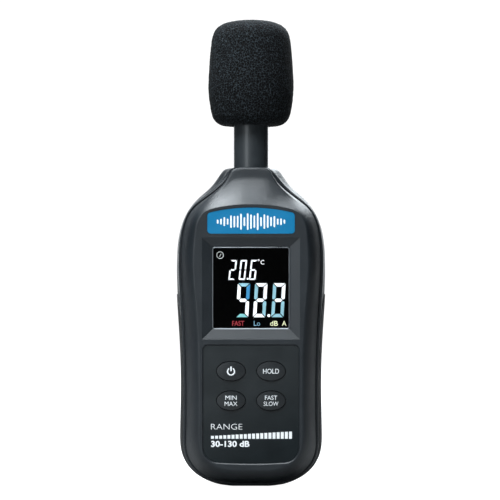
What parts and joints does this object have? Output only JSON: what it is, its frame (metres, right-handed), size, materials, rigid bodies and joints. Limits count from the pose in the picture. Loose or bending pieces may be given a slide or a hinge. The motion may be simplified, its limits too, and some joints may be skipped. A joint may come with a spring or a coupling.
{
  "type": "sound level meter",
  "caption": "Upright hand-held sound level meter: two-part case, rubber side grip, colour display, oval keys, and a microphone tube with a pull-off foam windscreen.",
  "frame": {"origin": "centre of the base plane, under the axis of the microphone tube", "axes": "+Z along the meter towards the microphone, the display faces -Y, +X to the right seen from the front"},
  "size_m": [0.0594, 0.0342, 0.185],
  "materials": {
    "case_plastic": "fine moulded texture",
    "grip_rubber": "matte, soft",
    "badge_blue": "satin",
    "window_clear": "polished",
    "keypad_film": "smooth satin",
    "key_plastic": "smooth satin",
    "foam": "open-cell foam",
    "tube_metal": "satin black",
    "capsule_metal": "satin",
    "steel": "plated",
    "brass": "machined",
    "board_green": "solder mask",
    "chip_black": "moulded",
    "lcd_glass": "polished",
    "diffuser_white": "satin",
    "frame_white": "satin",
    "silicone_grey": "matte",
    "carbon": "matte",
    "zebra_grey": "matte",
    "lead_grey": "satin",
    "wire_red": "satin",
    "plug_white": "satin",
    "cell_wrap": "printed sleeve",
    "label_grey": "matte film",
    "passive_tan": "ceramic"
  },
  "bodies": {
    "meter": {"amplifier_chips": "chip_black", "backlight_leds": "frame_white", "badge_plate": "badge_blue", "battery_1": "cell_wrap", "battery_2": "cell_wrap", "battery_3": "cell_wrap", "battery_contacts": "steel", "battery_leads": "wire_red", "battery_leaf_springs": "steel", "board_screws": "steel", "chip_passives": "passive_tan", "controller_chip": "chip_black", "display_window": "window_clear", "electrolytic_capacitors": "capsule_metal", "front_housing": "case_plastic", "housing_screws": "steel", "keypad_mat": "silicone_grey", "keypad_panel": "keypad_film", "lcd_backlight": "diffuser_white", "lcd_frame": "frame_white", "lcd_glass": "lcd_glass", "main_board": "board_green", "microphone_capsule": "capsule_metal", "microphone_grille": "steel", "microphone_holder": "silicone_grey", "microphone_lead": "lead_grey", "microphone_plug": "plug_white", "microphone_tube": "tube_metal", "quartz_crystal": "capsule_metal", "rear_housing": "case_plastic", "rear_label": "label_grey", "rubber_grip": "grip_rubber", "temperature_sensor": "carbon", "tripod_insert": "brass", "zebra_connectors": "zebra_grey"},
    "foam_windscreen": {"windscreen": "foam"},
    "door": {"battery_door": "case_plastic"},
    "power_key": {"power_button": "key_plastic", "power_pill": "carbon"},
    "hold_key": {"hold_button": "key_plastic", "hold_pill": "carbon"},
    "min_max_key": {"min_max_button": "key_plastic", "min_max_pill": "carbon"},
    "fast_slow_key": {"fast_slow_button": "key_plastic", "fast_slow_pill": "carbon"}
  },
  "joints": [
    {"name": "power_press", "type": "slide", "parent": "meter", "child": "power_key", "axis": [0, 1, 0], "range_m": [0, 0.0007], "stiffness_N_per_m": 1400, "springref_m": -0.0004},
    {"name": "hold_press", "type": "slide", "parent": "meter", "child": "hold_key", "axis": [0, 1, 0], "range_m": [0, 0.0007], "stiffness_N_per_m": 1400, "springref_m": -0.0004},
    {"name": "min_max_press", "type": "slide", "parent": "meter", "child": "min_max_key", "axis": [0, 1, 0], "range_m": [0, 0.0007], "stiffness_N_per_m": 1400, "springref_m": -0.0004},
    {"name": "fast_slow_press", "type": "slide", "parent": "meter", "child": "fast_slow_key", "axis": [0, 1, 0], "range_m": [0, 0.0007], "stiffness_N_per_m": 1400, "springref_m": -0.0004},
    {"name": "windscreen_pull", "type": "slide", "parent": "meter", "child": "foam_windscreen", "axis": [0, 0, 1], "range_m": [0, 0.045]},
    {"name": "battery_door_tilt", "type": "hinge", "parent": "meter", "child": "door", "pos_m": [0, 0.0162, 0.0145], "axis": [-1, 0, 0], "range_deg": [0, 75]}
  ]
}
